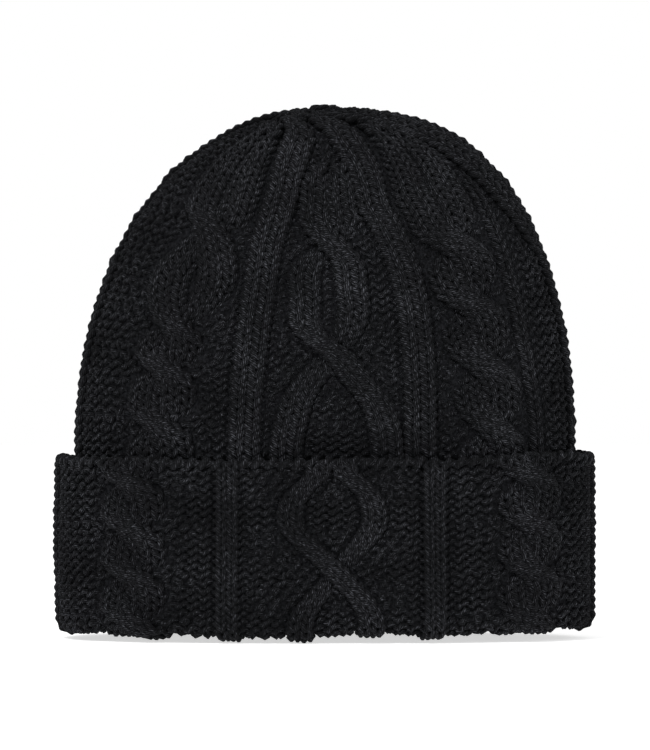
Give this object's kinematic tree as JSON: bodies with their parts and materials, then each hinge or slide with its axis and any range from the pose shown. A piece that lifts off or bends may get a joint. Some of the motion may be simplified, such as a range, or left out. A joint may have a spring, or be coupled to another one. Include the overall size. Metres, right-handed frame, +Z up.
{
  "type": "knit beanie",
  "caption": "Cable-knit beanie with a turned-up cuff, a gathered crown and a head opening below, standing on its cuff fold.",
  "frame": {"origin": "centre of the head opening, in the plane of the bottom of the cuff fold", "axes": "+Z up to the crown, +X to the viewer's right, the front faces -Y"},
  "size_m": [0.2282, 0.105, 0.2264],
  "materials": {
    "wool_knit": "matt bulky knit",
    "seam_yarn": "matt yarn",
    "label_tape": "satin woven tape",
    "label_thread": "satin thread"
  },
  "bodies": {
    "crown": {"crown_body": "wool_knit", "body_seam": "seam_yarn", "crown_gather": "seam_yarn", "crown_tail": "seam_yarn", "label_stitches": "label_thread"},
    "turned_cuff": {"cuff": "wool_knit", "cuff_seam": "seam_yarn", "cast_on_edge": "wool_knit"},
    "label": {"care_label": "label_tape"}
  },
  "joints": [
    {"name": "cuff_pull_down", "type": "slide", "parent": "crown", "child": "turned_cuff", "axis": [0, 0, -1], "range_m": [0, 0.045]},
    {"name": "label_flap", "type": "hinge", "parent": "crown", "child": "label", "pos_m": [0, 0.0379, 0.062], "axis": [-1, 0, 0], "range_deg": [0, 60]}
  ]
}
